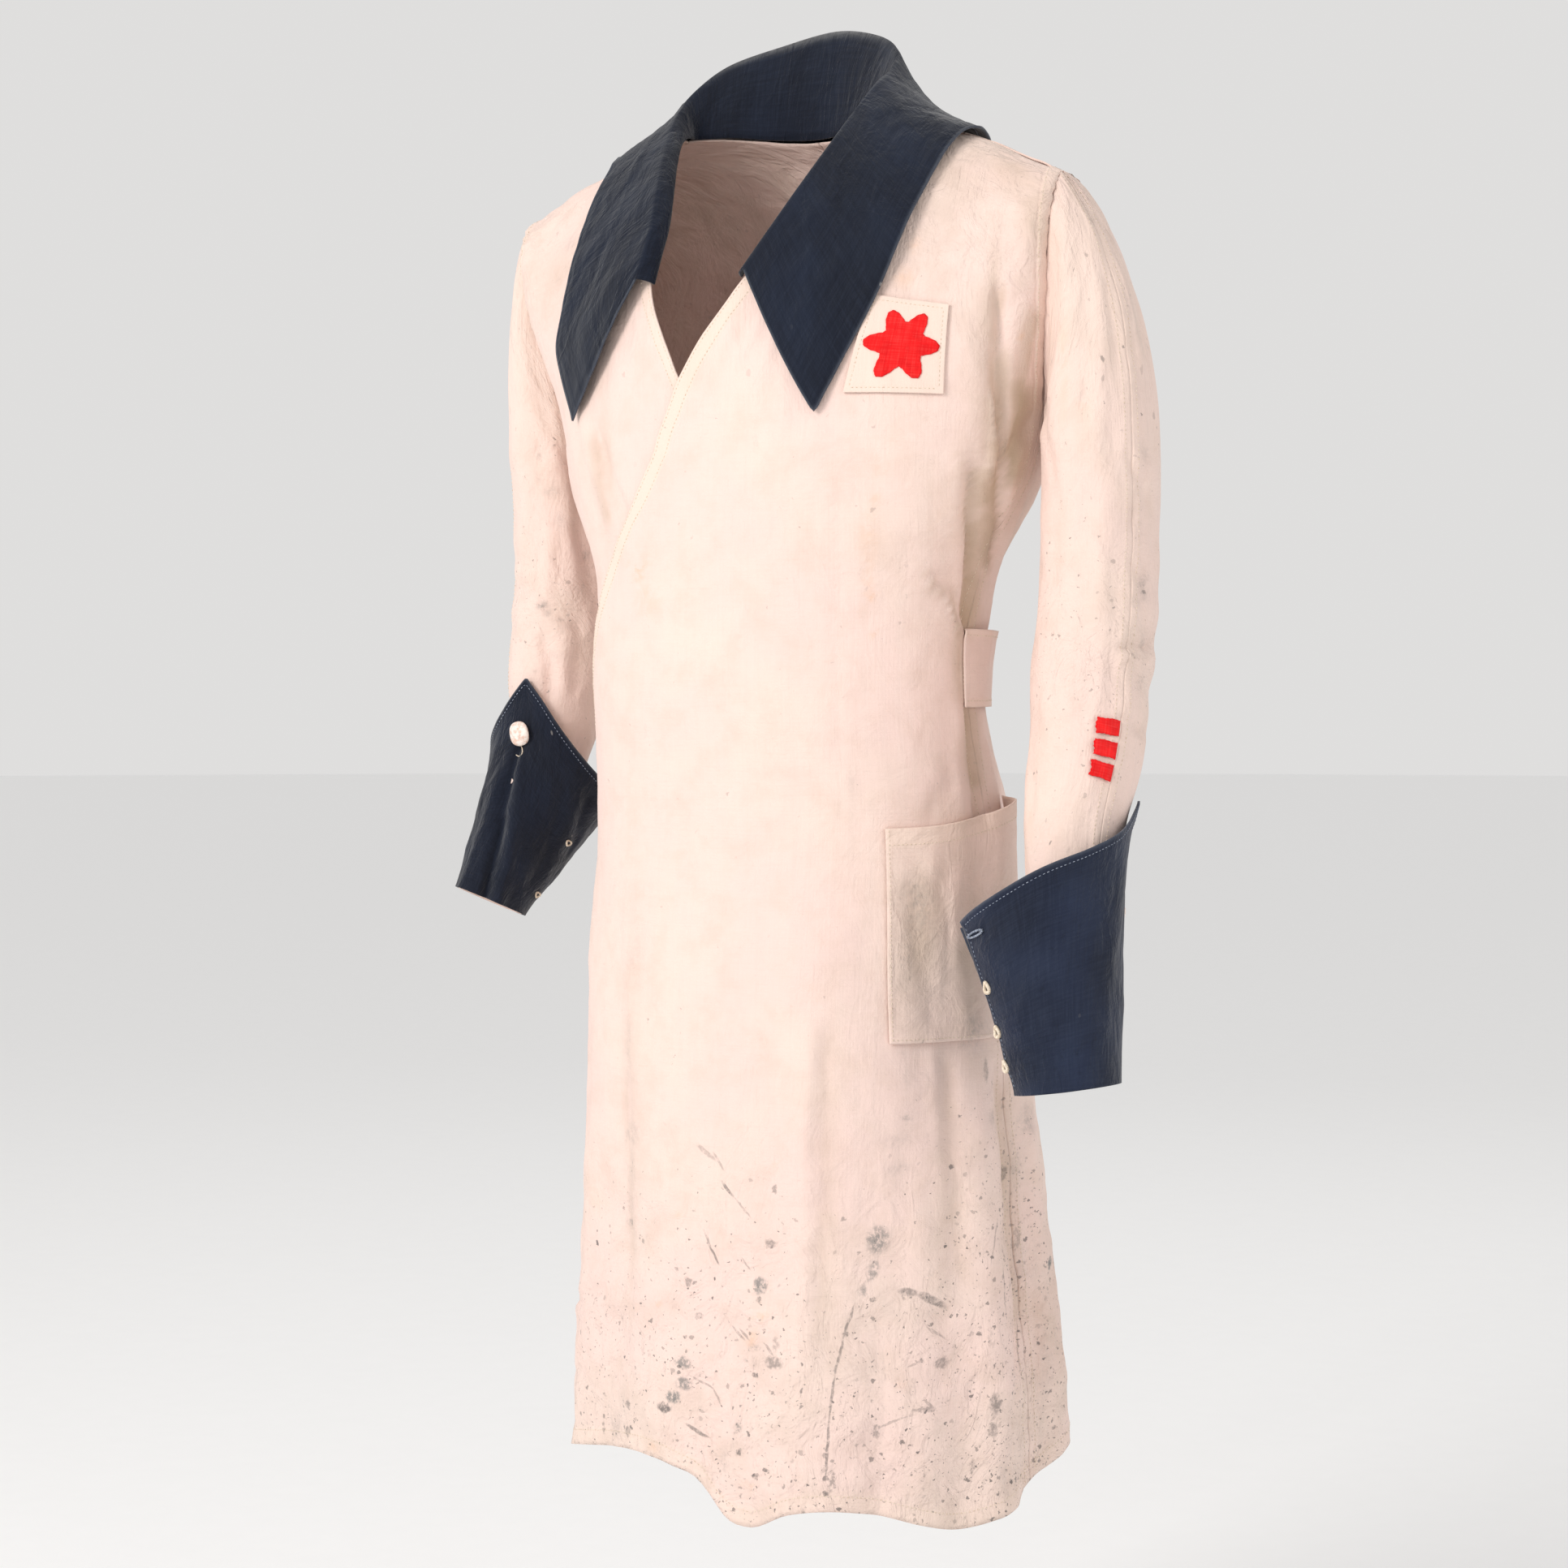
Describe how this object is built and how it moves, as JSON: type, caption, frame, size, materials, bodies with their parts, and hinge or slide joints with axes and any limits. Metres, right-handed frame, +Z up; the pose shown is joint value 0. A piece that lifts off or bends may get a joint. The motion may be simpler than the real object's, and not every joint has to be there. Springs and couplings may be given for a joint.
{
  "type": "uniform dress",
  "caption": "Long-sleeved wrap-front uniform dress in white cotton with a wide navy collar, turned-back navy cuffs, a hip pocket and a back belt.",
  "frame": {"origin": "on the garment's middle line, level with the neck end of the shoulder seams, where a wearer's shoulders hold it", "axes": "+Z up, -Y the front, +X the wearer's left"},
  "size_m": [0.5937, 0.3528, 1.0668],
  "materials": {
    "white_cotton": "matte",
    "navy_cotton": "matte",
    "red_cotton": "matte",
    "covered_button": "satin"
  },
  "bodies": {
    "root": {"back_left": "white_cotton", "back_right": "white_cotton", "belt": "white_cotton", "breast_patch": "white_cotton", "collar": "navy_cotton", "cuff_button_left": "covered_button", "cuff_button_right": "covered_button", "cuff_left": "navy_cotton", "cuff_right": "navy_cotton", "front_left": "white_cotton", "front_right": "white_cotton", "pocket": "white_cotton", "service_bar_1": "red_cotton", "service_bar_2": "red_cotton", "service_bar_3": "red_cotton", "sleeve_left_back": "white_cotton", "sleeve_left_front": "white_cotton", "sleeve_right_back": "white_cotton", "sleeve_right_front": "white_cotton"}
  },
  "joints": []
}
